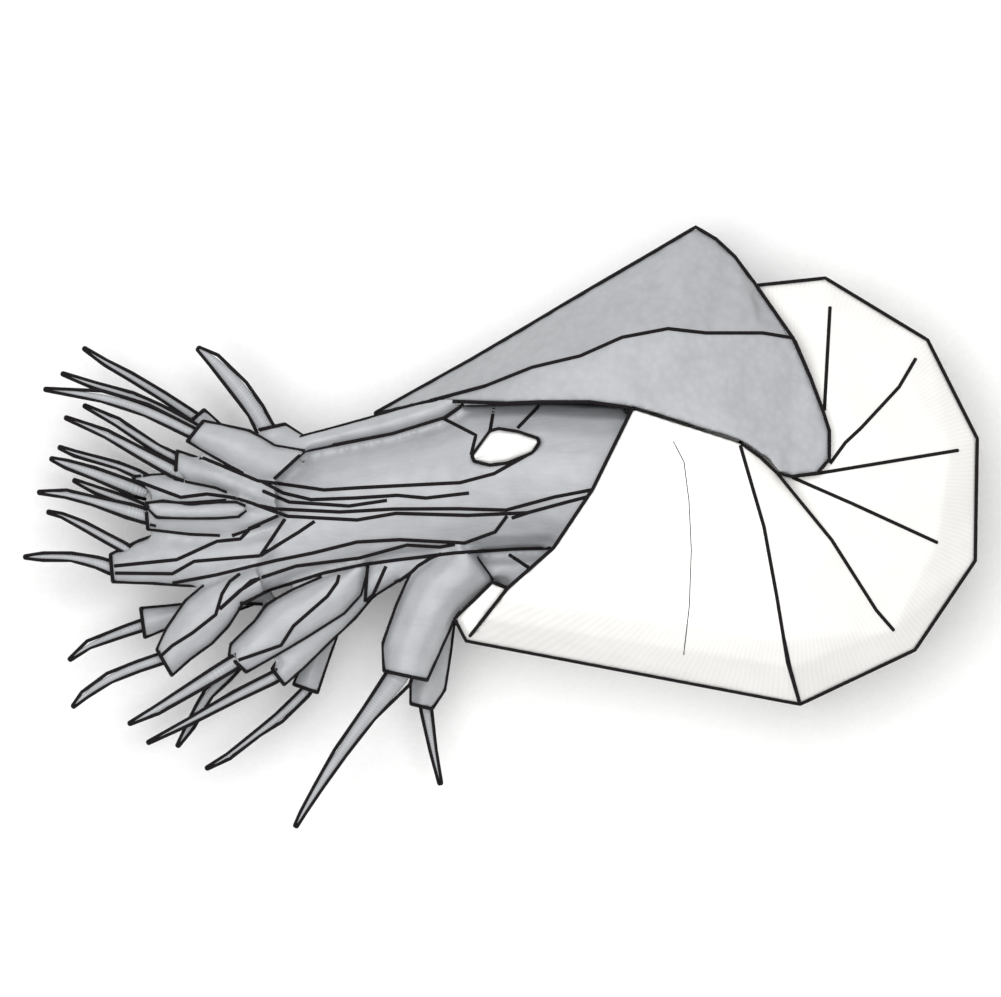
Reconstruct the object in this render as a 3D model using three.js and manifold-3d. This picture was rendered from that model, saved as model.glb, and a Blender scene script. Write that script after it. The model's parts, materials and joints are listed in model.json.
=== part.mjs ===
// A chambered nautilus in its shell, lying on its flank: head and arms at -X, back of the coil at +X.
// Outlines are millimetres from the umbilicus, the middle of the coil: +X away from the head, +Y towards
// the hood. A level is the height over the mirror plane of the animal, so its far half has levels below 0.
import * as THREE from "three";
import { ConvexGeometry } from "three/addons/geometries/ConvexGeometry.js";
import { LoftGeometry } from "three/addons/geometries/LoftGeometry.js";
import { mergeVertices } from "three/addons/utils/BufferGeometryUtils.js";
import Module from "manifold-3d";

const HALF_WIDTH = 39; // from the mirror plane to the flat flank of the body chamber
const WALL = 2; // shell wall at the aperture
const CLEARANCE = 0.45; // how far a piece is swollen before it cuts its neighbours
const LONGEST_MITRE = 3; // the most that a sharp corner moves out, in clearances
const VENTER_SHARE = 0.41; // half width of the belly of the body chamber, as a share of HALF_WIDTH
const SHOULDER_SHARE = 0.87; // the same where the flank turns over into the belly
const LIP_HALF_WIDTH = 20; // the tongue of the lower lip
const MANTLE_RECESS = 1; // from the aperture back to the mantle inside it
const BEYOND = 200; // further out than any part of the animal
const CIRRUS_SIDES = 8;
const SHEATH_SIDES = 10;
const HEAD_SIDES = 20;
const ELLIPSE = 1; // how a section bulges: 1 is an ellipse, and less is squarer
const HEAD_BULGE = 0.5;

const SHELL = { color: 0xf7f6f2, roughness: 0.35, metalness: 0 };
const SKIN = { color: 0xbbbdc0, roughness: 0.6, metalness: 0 };
const EYE = { color: 0xfcfcfa, roughness: 0.2, metalness: 0 };

// The edge of the aperture, from the hood down to the lower lip, and the tongue that the lip ends in.
const APERTURE = [[-47.9, 20.6], [-59.8, -3.6], [-71.6, -21.3], [-85.3, -33.3], [-97.8, -49.2]];
const LIP = [[-90, -31.5], [-101.2, -42.5]];
const LIP_FLANK = [-87.6, -36.3]; // where the lip leaves the flat flank
const LIP_SHOULDER = [-92.4, -42.6];

// The ridge where the flat flank of the body chamber ends and the older whorl begins.
const RIDGE = [[-15.8, 10.4], [-8.4, -15], [-4.6, -35.7], [-2.4, -48.9]];

// The living room of the animal inside the body chamber.
const ROOM = {
  flank: [[-77.1, 27.6], [-21.6, 10], [-14.1, -24.9], [-13.2, -45.9], [-99.6, -31.8]],
  turn: [[-105.6, -37.5], [-12, -53.4]],
  keel: [[-111.6, -44.4], [-11.1, -63.6]],
};

// Growth lines of the whorl, from the youngest to the oldest, which lie under the hood. Each has its points
// on the keel, on the shoulder and half way to the umbilicus, and the half width of the whorl at each.
const WHORL = [
  { keel: [2.4, -68.2, 16], shoulder: [-0.6, -57.3, 34], middle: [-8.4, -15, 39] },
  { keel: [36.9, -51.9, 14], shoulder: [30.5, -46, 26], middle: [11.9, -18.9, 34] },
  { keel: [55, -25.1, 13], shoulder: [43.6, -19.7, 23], middle: [18.3, -8.1, 31] },
  { keel: [55.6, 11.5, 12], shoulder: [47.4, 7.8, 20], middle: [20.4, 3.3, 28.5] },
  { keel: [40.7, 41.1, 11], shoulder: [33.9, 31.5, 18], middle: [20.6, 14.6, 26.5] },
  { keel: [10, 59.7, 10], shoulder: [11.1, 50.7, 16], middle: [10.2, 29.1, 24.5] },
  { keel: [-10.8, 57.5, 9], shoulder: [-7.2, 49.5, 14], middle: [-3.6, 26.1, 23] },
  { keel: [-30.6, 45.6, 8], shoulder: [-25.8, 40.5, 13], middle: [-14.1, 20.1, 22] },
  { keel: [-45.6, 27.6, 7], shoulder: [-41.1, 24.6, 12], middle: [-21.6, 14.1, 21] },
];
const UMBILICUS_HALF_WIDTH = 31;

// Sections of the hood from its front tip to its rear edge on the coil: x, y and half width of the lower
// edge, of the fold along its side, and of its roof.
const HOOD = [
  { edge: [-125.2, 18.8, 1.5], fold: [-124.9, 19.2, 1.8], roof: [-124.8, 19.4, 1.2] },
  { edge: [-108.3, 22.9, 19], fold: [-105.6, 23.7, 20], roof: [-96.6, 35.1, 8] },
  { edge: [-85.8, 22.1, 33], fold: [-91.8, 27.4, 28], roof: [-77.1, 46.6, 11] },
  { edge: [-75.3, 22.5, 36], fold: [-78, 32.9, 33], roof: [-68.1, 52, 13] },
  { edge: [-60.6, 22.5, 38], fold: [-63.6, 36.3, 36], roof: [-57.6, 58.2, 15] },
  { edge: [-47.9, 20.7, 38.5], fold: [-51, 41.9, 36.5], roof: [-42.6, 66.9, 16] },
  { edge: [-30.6, 15.1, 38.5], fold: [-37.2, 44.5, 35], roof: [-28.9, 75, 16] },
  { edge: [-16, 10.6, 38.5], fold: [-25.8, 43.2, 33], roof: [-22.8, 71.4, 16] },
  { edge: [-4.3, 1.2, 36], fold: [-8.7, 43.2, 30], roof: [-17.2, 66.2, 15] },
  { edge: [-0.1, 0.1, 34.5], fold: [0.3, 41.7, 27], roof: [-10.8, 57.6, 13] },
  { edge: [7.7, 1.2, 33], fold: [5.5, 30, 29], roof: [-5, 49.2, 19] },
  { edge: [11.2, 5.4, 31.8], fold: [9.3, 19.9, 29.8], roof: [0.9, 40.8, 22.5] },
];
const HOOD_REAR_BULGE = [11.2, 13.9, 30.9]; // the rear edge, between its lower corner and the fold
const HOOD_CROWN = 0.5; // how far its side stands out between the lower edge and the fold

// The head, from its front to the part that is inside the aperture.
const HEAD = {
  upper: [[-158, -2], [-146.4, 7.8], [-137.8, 9.6], [-120, 13], [-103.8, 18], [-98.1, 22], [-75.3, 22.8],
    [-50.1, 21.6]],
  lower: [[-167.5, -32], [-165, -38.1], [-156.8, -33.9], [-127.5, -26.1], [-101.2, -22.8], [-83.8, -21.6],
    [-72.3, -21.3], [-57.6, -24.9]],
  levels: [0, 0],
  depths: [15, 36],
};
const EYE_OUTLINE = {
  upper: [[-96, 6.3], [-90.6, 13.8], [-88, 14.5], [-82.3, 13.6], [-76.2, 11.5]],
  lower: [[-95.4, 4.8], [-90.6, 3.6], [-85.3, 4.3], [-77.9, 7.2], [-75.9, 10.2]],
  levels: [29.5, 31],
  depths: [3.5, 3.5],
};
const FUNNEL = {
  upper: [[-94.9, -23.7], [-84.9, -22.5], [-69.6, -20.4]],
  lower: [[-89.4, -31.5], [-83.4, -33.6], [-69.6, -30.9]],
  levels: [0, 0],
  depths: [11, 15],
};

// Sheaths of the arms, from the mouth to the root. Levels and depths (half thicknesses) are those of the
// mouth and of the root. A paired one has a twin in the far half. Each is cut by those before it.
const SHEATHS = [
  {
    name: "dorsal", paired: true, levels: [12, 18], depths: [5, 8],
    upper: [[-152.2, 15.9], [-146.7, 12.3], [-138.6, 14.4], [-123.9, 18.5], [-110.1, 22.5], [-104.1, 24.3]],
    lower: [[-160.2, 14.1], [-155.1, 9.3], [-146.4, 7.8], [-120, 13], [-103.8, 18], [-98.4, 21.9]],
  },
  {
    name: "fold_flap", levels: [18, 24], depths: [2, 2.5],
    upper: [[-193.8, -7.9], [-188.7, -7.2], [-180.3, -8.4], [-173.1, -7.6], [-166.9, -7.6], [-164.1, -8.7]],
    lower: [[-193.2, -9.3], [-190.6, -12.1], [-180.6, -12.3], [-172.9, -12.3], [-166, -11.8],
      [-163.8, -9.9]],
  },
  {
    name: "upper", levels: [16, 22], depths: [5.5, 8],
    upper: [[-176.7, 16.8], [-162.6, 13.8], [-155.1, 9.3], [-146.1, 7.8]],
    lower: [[-181.4, 10.8], [-168, 3], [-160.2, -1.1], [-154.8, -0.9]],
  },
  {
    name: "second", paired: true, levels: [12, 20], depths: [5, 8],
    upper: [[-184.5, 7.8], [-172.8, 3.9], [-159.6, -1.4], [-154.8, -2.1]],
    lower: [[-185.1, -0.6], [-172.8, -3.1], [-159.6, -8.6], [-154.8, -9.6]],
  },
  {
    name: "fourth", paired: true, levels: [12, 19], depths: [4.5, 7],
    upper: [[-193.9, -7.8], [-180.6, -7.8], [-168, -6.9], [-159, -8.7], [-152.1, -10.5]],
    lower: [[-193.3, -15.6], [-180.6, -17.1], [-168, -17.6], [-159.6, -14.4], [-154.2, -12]],
  },
  {
    name: "third", paired: true, levels: [6, 12], depths: [4, 6],
    upper: [[-197.7, 0.1], [-185.7, 0.9], [-172.8, -1.5], [-160.2, -6.3]],
    lower: [[-195.8, -4.6], [-188.8, -7.8], [-175.5, -9], [-162.6, -10.5]],
  },
  {
    name: "fifth", paired: true, levels: [7, 14], depths: [5, 8],
    upper: [[-204.5, -23.3], [-195.8, -19.1], [-187.9, -16.5], [-176.1, -16.8], [-164.1, -15.9],
      [-156.6, -15.9]],
    lower: [[-203.8, -31.4], [-192.6, -31.8], [-183.6, -32.4], [-175.8, -32.7], [-165.6, -29.7],
      [-155.1, -25.5]],
  },
  {
    name: "sixth", levels: [13, 17], depths: [6, 8],
    upper: [[-190.5, -51.9], [-187.6, -45.4], [-181.9, -37.1], [-176.4, -32.6], [-170.1, -30],
      [-161.1, -26.7]],
    lower: [[-186.1, -59.5], [-180.6, -54.6], [-174, -49.8], [-169.2, -44.8], [-165, -38.1],
      [-158.1, -34.5]],
  },
  {
    name: "seventh", paired: true, levels: [12, 15], depths: [5.5, 7],
    upper: [[-168.8, -53.7], [-168.3, -50.2], [-161.1, -43.2], [-157.6, -38.3], [-150.6, -34.3],
      [-141, -30], [-132.6, -27.3]],
    lower: [[-163.8, -58.5], [-159, -55.8], [-150.6, -50.9], [-145.2, -47.7], [-134.4, -40.8],
      [-129.4, -35.3], [-127.2, -26.7]],
  },
  {
    name: "eighth", levels: [7, 9], depths: [4.5, 6],
    upper: [[-156, -57.6], [-153.6, -54], [-146.1, -46.8], [-137.1, -38.7], [-132, -32.1], [-125.1, -25.5],
      [-115.5, -23.4]],
    lower: [[-152.4, -62.3], [-146.6, -57.2], [-136.4, -47.2], [-131.1, -42.3], [-125.7, -35.7],
      [-114.3, -28.7], [-108, -24.3]],
  },
  {
    name: "ventral", levels: [10, 13], depths: [8, 9],
    upper: [[-122.4, -58.2], [-122.7, -49.8], [-118.5, -38.1], [-114.3, -28.7], [-108.6, -24.3],
      [-102.6, -20.4]],
    lower: [[-109.5, -61], [-104.4, -49.5], [-101.2, -42.5], [-95.1, -36.3], [-89.4, -31.5],
      [-94.9, -23.7]],
  },
  {
    name: "upper_far", levels: [-12, -16], depths: [4.5, 7],
    upper: [[-176.4, 20.2], [-170.1, 14.5], [-159, 8.7], [-148, 4]],
    lower: [[-180.4, 16.8], [-175.2, 10.8], [-165.6, 4.2], [-156, -3]],
  },
  {
    name: "sixth_far", levels: [-12, -15], depths: [4.5, 7],
    upper: [[-195.4, -39.4], [-188.1, -38.8], [-182.4, -38.2], [-170, -32], [-160, -25]],
    lower: [[-194.2, -48.1], [-187.6, -45.4], [-181.8, -42.9], [-168, -40.5], [-156, -36]],
  },
  {
    name: "eighth_far", levels: [-10, -11], depths: [4.5, 6],
    upper: [[-149.5, -62.2], [-146.7, -56.1], [-141, -46.5], [-134.1, -38.4], [-124, -27]],
    lower: [[-142.4, -64.7], [-139.8, -56.7], [-136.2, -46.5], [-130, -39.5], [-116, -28]],
  },
  {
    name: "ventral_far", levels: [-11, -13], depths: [6, 8],
    upper: [[-114.3, -68.1], [-114.3, -62.1], [-111.6, -53.4], [-108.6, -45.9], [-110, -33], [-108, -24]],
    lower: [[-108, -69.6], [-104.2, -63.8], [-102.6, -53.4], [-101.5, -44.6], [-97, -35], [-94, -25]],
  },
];

// Cirri, named for the sheath that they come out of: x, y and width from the root to the tip, and the levels
// of the root and of the tip.
const CIRRI = [
  {
    name: "dorsal", paired: true, levels: [12, 9],
    route: [[-154.8, 10.8, 4.5], [-158.1, 14.5, 5.4], [-160.8, 19.8, 5.1], [-165.8, 26.6, 5.5],
      [-173.5, 35.2, 3.8], [-178.2, 38.6, 0.9]],
  },
  {
    name: "upper_a", levels: [17, 18],
    route: [[-176.7, 11.7, 3], [-180.2, 13.4, 3.1], [-193.8, 20.2, 3.4], [-207, 24.3, 3.1],
      [-224.1, 26.3, 0.6]],
  },
  {
    name: "upper_b", levels: [13, 11],
    route: [[-175.8, 12.9, 2.1], [-179.4, 15, 2.1], [-189.6, 20.6, 2.1], [-198, 24.3, 2.1],
      [-209.1, 27.4, 1.8], [-218.9, 31, 0.6]],
  },
  {
    name: "upper_far", levels: [-12, -14],
    route: [[-176.7, 16.3, 2.4], [-179.4, 18.1, 2.7], [-188.7, 24.3, 2.4], [-198.6, 30.3, 2.2],
      [-205.8, 34.2, 1.6], [-212.4, 38.6, 0.6]],
  },
  {
    name: "second_a", paired: true, levels: [13.5, 16],
    route: [[-181.8, 0.3, 3.3], [-185.5, 1.9, 3.8], [-195.6, 7.3, 3], [-205.7, 13, 2.2],
      [-217.9, 17.8, 0.6]],
  },
  {
    name: "second_b", levels: [10, 8],
    route: [[-181.2, 3.9, 2.4], [-184.8, 5.7, 2.7], [-190.5, 8.4, 2.4], [-202.5, 16.6, 2.2],
      [-212.3, 21.4, 0.6]],
  },
  {
    name: "third_a", paired: true, levels: [8, 13],
    route: [[-193.2, -5.1, 3.4], [-196.8, -3.8, 4.2], [-209.4, 1.2, 3.3], [-217.5, 3.8, 2.4],
      [-222.3, 5.5, 0.6]],
  },
  {
    name: "third_b", levels: [5, 4],
    route: [[-192.6, -0.9, 2], [-196.2, 0.9, 2.2], [-202.2, 3.5, 1.8], [-215.1, 7, 1.5],
      [-219.8, 8.9, 0.6]],
  },
  {
    name: "fourth_a", paired: true, levels: [13, 14],
    route: [[-190.2, -12.9, 3.6], [-193.8, -11.7, 4.2], [-198.9, -10.2, 4.3], [-209.7, -7.1, 2.4],
      [-217.8, -5, 2.2], [-226, -4.6, 0.6]],
  },
  {
    name: "fourth_b", levels: [9, 7],
    route: [[-189.5, -11.5, 2.1], [-200.1, -6.9, 2.4], [-208.2, -4.2, 2.1], [-215.4, -1, 0.6]],
  },
  {
    name: "fifth_a", paired: true, levels: [8, 6],
    route: [[-200.4, -28.5, 3.3], [-204.4, -27.1, 3.8], [-208.5, -25.6, 3.1], [-216.3, -23.9, 2.2],
      [-224.7, -23.9, 2.2], [-230.2, -24, 0.6]],
  },
  {
    name: "fifth_b", levels: [8, 11],
    route: [[-197.4, -23.1, 2.4], [-200.4, -21.1, 2.7], [-205.5, -18.4, 2.5], [-212.7, -14.4, 2.2],
      [-219, -11.5, 1.1], [-223.2, -10.5, 0.6]],
  },
  {
    name: "sixth", levels: [14, 12],
    route: [[-185.4, -53.1, 3], [-189, -54.4, 3.1], [-195.9, -56.7, 3], [-204.8, -60.2, 2.9],
      [-212.4, -65.4, 2.2], [-215.7, -68.9, 0.6]],
  },
  {
    name: "sixth_far", levels: [-12, -13],
    route: [[-191.4, -43.5, 3], [-195.3, -44.6, 3.1], [-199.5, -46, 2.9], [-211, -50.2, 2.2],
      [-216.7, -54.8, 0.6]],
  },
  {
    name: "seventh_a", paired: true, levels: [14, 17],
    route: [[-163.8, -53.7, 3.6], [-167.4, -55.7, 4], [-173.1, -59.2, 3.9], [-190.5, -69.9, 2.4],
      [-198.8, -74, 0.6]],
  },
  {
    name: "seventh_b", levels: [8.5, 0],
    route: [[-164.5, -54.5, 2.6], [-169.8, -60, 3.1], [-175, -64.8, 2.9], [-177.8, -69.6, 2.7],
      [-180.3, -74.4, 2.4], [-184.3, -80.7, 0.6]],
  },
  {
    name: "eighth", levels: [8, 7],
    route: [[-152.4, -58.5, 3], [-155.8, -60.3, 3.3], [-167.1, -65.8, 2.9], [-180.6, -73.3, 1.8],
      [-193.2, -79.7, 0.6]],
  },
  {
    name: "eighth_far", levels: [-10, -12],
    route: [[-144, -61.8, 2.7], [-146.2, -64.8, 2.9], [-153.9, -72.3, 2.9], [-160.2, -76.8, 1.8],
      [-169, -83.8, 1.6], [-175.6, -87.4, 0.6]],
  },
  {
    name: "ventral", levels: [10, 8],
    route: [[-116.4, -56.1, 7.2], [-117.9, -60, 7.9], [-127, -71.1, 4.6], [-135.6, -82.8, 3.8],
      [-141.9, -92.7, 2.5], [-146.8, -100.8, 1.5], [-148.9, -104.8, 0.8]],
  },
  {
    name: "ventral_far", levels: [-11, -13],
    route: [[-110.2, -66.9, 3], [-109.7, -70, 3.2], [-107.7, -81.9, 1.8], [-105.5, -92, 0.8]],
  },
];

const wasm = await Module();
wasm.setup();

// The way that each vertex of a merged geometry moves so that every face at it moves out by at least one.
function outwardMoves(geometry) {
  const position = geometry.getAttribute("position");
  const faceNormals = Array.from({ length: position.count }, () => []);
  const corners = [new THREE.Vector3(), new THREE.Vector3(), new THREE.Vector3()];
  for (let face = 0; face < geometry.index.count; face += 3) {
    const indices = [0, 1, 2].map((corner) => geometry.index.getX(face + corner));
    indices.forEach((index, corner) => corners[corner].fromBufferAttribute(position, index));
    const normal = new THREE.Triangle(...corners).getNormal(new THREE.Vector3());
    indices.forEach((index) => faceNormals[index].push(normal));
  }
  return faceNormals.map((normals) => {
    const distinct = normals.filter((one, i) => normals.findIndex((other) => other.dot(one) > 0.999) === i);
    const move = distinct.reduce((sum, one) => sum.add(one), new THREE.Vector3()).normalize();
    const least = Math.min(...distinct.map((one) => one.dot(move)));
    return move.divideScalar(Math.max(least, 1 / LONGEST_MITRE));
  });
}

// A closed solid of a three.js geometry, its faces moved outwards by swell.
function solidOf(geometry, swell = 0) {
  const bare = new THREE.BufferGeometry();
  bare.setAttribute("position", geometry.getAttribute("position"));
  bare.setIndex(geometry.index);
  const merged = mergeVertices(bare, 1e-3);
  const points = Float32Array.from(merged.getAttribute("position").array);
  outwardMoves(merged).forEach((move, i) => {
    move.toArray().forEach((value, axis) => {
      points[3 * i + axis] += value * swell;
    });
  });
  const triVerts = Uint32Array.from(merged.index.array);
  return new wasm.Manifold(new wasm.Mesh({ numProp: 3, vertProperties: points, triVerts }));
}

// What a neighbour of the piece is cut by.
const swollen = (geometry) => solidOf(geometry, CLEARANCE).add(solidOf(geometry));
const joined = (solids) => solids.reduce((all, one) => all.add(one));
const between = (ends, share) => ends[0] + (ends[1] - ends[0]) * share;
const bothSides = ([x, y, half]) => [new THREE.Vector3(x, y, half), new THREE.Vector3(x, y, -half)];

// The convex solid round points given as x, y and half width, the same on both sides of the mirror plane.
const wedge = (points) => new ConvexGeometry(points.flatMap(bothSides));

// A right prism on an outline, from one level to another.
function prism(outline, bottom, top) {
  const shape = new THREE.Shape(outline.map(([x, y]) => new THREE.Vector2(x, y)));
  const geometry = new THREE.ExtrudeGeometry(shape, { depth: top - bottom, bevelEnabled: false });
  return geometry.translate(0, 0, bottom);
}

// An oval section whose outline points, seen square to the mirror plane, are upper and lower.
function oval(upper, lower, level, depth, sides, bulge = ELLIPSE) {
  const centre = new THREE.Vector3((upper[0] + lower[0]) / 2, (upper[1] + lower[1]) / 2, level);
  const across = new THREE.Vector3((upper[0] - lower[0]) / 2, (upper[1] - lower[1]) / 2, 0);
  return Array.from({ length: sides }, (_, side) => {
    const turn = (side / sides) * 2 * Math.PI;
    const point = centre.clone().addScaledVector(across, Math.cos(turn));
    const height = Math.sin(turn);
    return point.setZ(level + depth * Math.sign(height) * Math.abs(height) ** bulge);
  });
}

const centreOf = (points) => {
  const sum = points.reduce((total, point) => total.add(point), new THREE.Vector3());
  return sum.divideScalar(points.length);
};

// A closed loft. Its sections have to run counterclockwise about the way that it goes.
function loft(sections) {
  const [centre, next] = sections.slice(0, 2).map(centreOf);
  const [first, second] = sections[0].slice(0, 2).map((point) => point.clone().sub(centre));
  const clockwise = first.cross(second).dot(next.sub(centre)) < 0;
  const ordered = clockwise ? sections.map((section) => [...section].reverse()) : sections;
  return new LoftGeometry(ordered, { capStart: true, capEnd: true });
}

// A fleshy form between an upper and a lower outline.
function fleshy({ upper, lower, levels, depths }, sides, bulge = ELLIPSE) {
  const sections = upper.map((point, i) => {
    const share = i / (upper.length - 1);
    return oval(point, lower[i], between(levels, share), between(depths, share), sides, bulge);
  });
  return loft(sections);
}

// A cirrus: round sections square to its route.
function cirrusForm({ route, levels }) {
  const sections = route.map(([x, y, width], i) => {
    const before = route[Math.max(i - 1, 0)];
    const after = route[Math.min(i + 1, route.length - 1)];
    const along = new THREE.Vector2(after[0] - before[0], after[1] - before[1]).normalize();
    const upper = [x - (along.y * width) / 2, y + (along.x * width) / 2];
    const lower = [x + (along.y * width) / 2, y - (along.x * width) / 2];
    return oval(upper, lower, between(levels, i / (route.length - 1)), width / 2, CIRRUS_SIDES);
  });
  return loft(sections);
}

// The same form in the far half.
const twin = (form) => ({ ...form, name: form.name + "_far", levels: form.levels.map((level) => -level) });
const withTwins = (forms) => [...forms, ...forms.filter((form) => form.paired).map(twin)];

// The body chamber: its flat flanks, its shoulders and its belly.
function bodyChamberBlock() {
  const flank = [APERTURE[0], LIP_FLANK, ...RIDGE].map(([x, y]) => [x, y, HALF_WIDTH]);
  const turn = [LIP_SHOULDER, WHORL[0].shoulder].map(([x, y]) => [x, y, HALF_WIDTH * SHOULDER_SHARE]);
  const keel = [APERTURE.at(-1), LIP[1], WHORL[0].keel].map(([x, y]) => [x, y, HALF_WIDTH * VENTER_SHARE]);
  return wedge([...flank, ...turn, ...keel]);
}

// All that lies in front of the aperture, moved back by shift: the shell's mouth is opened by it.
function aperturePrisms(shift) {
  const wide = 2 * HALF_WIDTH;
  const foot = APERTURE.at(-1);
  const mouth = [
    ...APERTURE.slice(0, -1), ...LIP, foot,
    [foot[0], -BEYOND], [-BEYOND, -BEYOND], [-BEYOND, BEYOND], [APERTURE[0][0], BEYOND],
  ];
  const besideLip = [APERTURE.at(-2), foot, LIP[1], LIP[0]];
  return joined([
    solidOf(prism(mouth, -wide, wide)),
    solidOf(prism(besideLip, LIP_HALF_WIDTH, wide)),
    solidOf(prism(besideLip, -wide, -LIP_HALF_WIDTH)),
  ]).translate([shift, 0, 0]);
}

// The tongue that the lower lip ends in, solid between its two sides.
function lipTongue(swell) {
  const outline = [...LIP, APERTURE.at(-1), APERTURE.at(-2)];
  const bar = wedge(outline.map(([x, y]) => [x, y, LIP_HALF_WIDTH]));
  return solidOf(bar, swell).intersect(solidOf(bodyChamberBlock(), swell));
}

// The living room inside the body chamber, up to its last wall. It runs out past the aperture.
function livingRoom(swell) {
  const inside = HALF_WIDTH - WALL;
  return solidOf(wedge([
    ...ROOM.flank.map(([x, y]) => [x, y, inside]),
    ...ROOM.turn.map(([x, y]) => [x, y, inside * SHOULDER_SHARE]),
    ...ROOM.keel.map(([x, y]) => [x, y, inside * VENTER_SHARE]),
  ]), swell);
}

// The outside of the shell: the block of the body chamber and one wedge between each two growth lines.
function shellOutside() {
  const umbilicus = [0, 0, UMBILICUS_HALF_WIDTH];
  const sectors = WHORL.slice(1).map((line, i) => {
    const points = [umbilicus, ...Object.values(WHORL[i]), ...Object.values(line)];
    if (i === 0) {
      points.push(...RIDGE.map(([x, y]) => [x, y, HALF_WIDTH]));
    }
    return wedge(points);
  });
  return [bodyChamberBlock(), ...sectors];
}

function hoodForm() {
  const last = HOOD.length - 1;
  const sections = HOOD.map(({ edge, fold, roof }, i) => {
    const [x, y, half] = edge.map((value, axis) => (value + fold[axis]) / 2);
    const side = i === last ? HOOD_REAR_BULGE : [x, y, half + HOOD_CROWN];
    const near = [edge, side, fold, roof].map((point) => bothSides(point)[0]);
    const far = [roof, fold, side, edge].map((point) => bothSides(point)[1]);
    return [...near, ...far];
  });
  return loft(sections);
}

const nautilus = new THREE.Group();
const made = []; // solids so far, swollen, that the later pieces are cut by

// Cuts a piece by those before it, keeps its largest body, and adds it to the group.
function addPiece(name, look, solid, cutter) {
  const cut = made.reduce((rest, earlier) => rest.subtract(earlier), solid);
  const body = cut.decompose().sort((a, b) => b.volume() - a.volume())[0];
  const { vertProperties, triVerts } = body.getMesh();
  const geometry = new THREE.BufferGeometry();
  geometry.setAttribute("position", new THREE.BufferAttribute(vertProperties, 3));
  geometry.setIndex(new THREE.BufferAttribute(triVerts, 1));
  geometry.computeVertexNormals();
  const mesh = new THREE.Mesh(geometry, new THREE.MeshStandardMaterial(look));
  mesh.name = name;
  nautilus.add(mesh);
  made.push(cutter);
}

function addForm(name, look, geometry) {
  addPiece(name, look, solidOf(geometry), swollen(geometry));
}

const bodyInside = livingRoom(-CLEARANCE);
const outside = shellOutside();
const hollowed = joined(outside.map((part) => solidOf(part))).subtract(livingRoom(0));
addPiece(
  "shell",
  SHELL,
  hollowed.subtract(aperturePrisms(0)).add(lipTongue(0)),
  joined(outside.map(swollen)).subtract(bodyInside).add(lipTongue(CLEARANCE)),
);
addForm("hood", SKIN, hoodForm());
for (const eye of [{ ...EYE_OUTLINE, name: "eye_near" }, twin({ ...EYE_OUTLINE, name: "eye" })]) {
  addForm(eye.name, EYE, fleshy(eye, SHEATH_SIDES));
}
for (const cirrus of withTwins(CIRRI)) {
  addForm("cirrus_" + cirrus.name, SKIN, cirrusForm(cirrus));
}
const headForm = fleshy(HEAD, HEAD_SIDES, HEAD_BULGE);
const mantle = bodyInside.subtract(aperturePrisms(MANTLE_RECESS));
addPiece("head", SKIN, solidOf(headForm).add(mantle), swollen(headForm).add(mantle));
for (const sheath of withTwins(SHEATHS)) {
  addForm("sheath_" + sheath.name, SKIN, fleshy(sheath, SHEATH_SIDES));
}
addForm("funnel", SKIN, fleshy(FUNNEL, SHEATH_SIDES));

// The origin is under the middle of the animal, on the surface that it lies on.
const box = new THREE.Box3().setFromObject(nautilus);
const middle = box.getCenter(new THREE.Vector3());
nautilus.position.set(-middle.x, -middle.y, -box.min.z);

export default nautilus;
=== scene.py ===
"""A chambered nautilus in its shell, lying on its flank, finished like an inked plate made solid."""

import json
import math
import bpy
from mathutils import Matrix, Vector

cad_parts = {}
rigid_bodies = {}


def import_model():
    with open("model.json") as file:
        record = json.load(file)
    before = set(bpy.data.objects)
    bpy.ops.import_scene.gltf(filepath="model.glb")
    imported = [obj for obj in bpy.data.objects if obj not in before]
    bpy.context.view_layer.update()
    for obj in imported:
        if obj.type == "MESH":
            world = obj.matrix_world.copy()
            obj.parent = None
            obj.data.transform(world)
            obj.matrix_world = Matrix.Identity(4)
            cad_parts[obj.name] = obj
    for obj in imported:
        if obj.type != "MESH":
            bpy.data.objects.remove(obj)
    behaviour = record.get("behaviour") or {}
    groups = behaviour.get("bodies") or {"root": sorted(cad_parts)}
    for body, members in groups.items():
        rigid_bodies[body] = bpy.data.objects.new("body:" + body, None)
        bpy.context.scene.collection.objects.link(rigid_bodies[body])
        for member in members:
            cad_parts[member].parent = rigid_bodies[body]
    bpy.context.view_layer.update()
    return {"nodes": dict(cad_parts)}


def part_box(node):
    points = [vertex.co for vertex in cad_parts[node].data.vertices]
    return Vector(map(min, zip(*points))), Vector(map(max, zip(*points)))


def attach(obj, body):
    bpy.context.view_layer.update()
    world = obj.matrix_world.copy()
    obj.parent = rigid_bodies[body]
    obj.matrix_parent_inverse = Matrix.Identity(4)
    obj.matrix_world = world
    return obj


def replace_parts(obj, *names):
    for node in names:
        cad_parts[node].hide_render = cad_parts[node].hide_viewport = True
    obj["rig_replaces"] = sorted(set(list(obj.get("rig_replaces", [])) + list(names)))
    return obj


bl_info = {
    "name": "Chambered Nautilus",
    "version": (1, 0, 0),
    "blender": (4, 5, 0),
    "location": "View3D > Sidebar > Nautilus",
    "description": "Skin, shell and line work for a chambered nautilus",
    "category": "Object",
}

import bmesh
import bpy
from mathutils import Vector, noise
from mathutils.bvhtree import BVHTree

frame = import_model()

MM = 0.001
WELD = 0.002 * MM

# The umbilicus is the middle of the coil, COIL_RADIUS in from the back of the shell and HOOD_HEIGHT below
# the top of the hood. Routes are millimetres from it, +X away from the head and +Y towards the hood.
COIL_RADIUS = 55.6 * MM
HOOD_HEIGHT = 75 * MM
UMBILICUS = Vector((
    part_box("shell")[1].x - COIL_RADIUS,
    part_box("hood")[1].y - HOOD_HEIGHT,
    (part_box("shell")[0].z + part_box("shell")[1].z) / 2,
))

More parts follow.
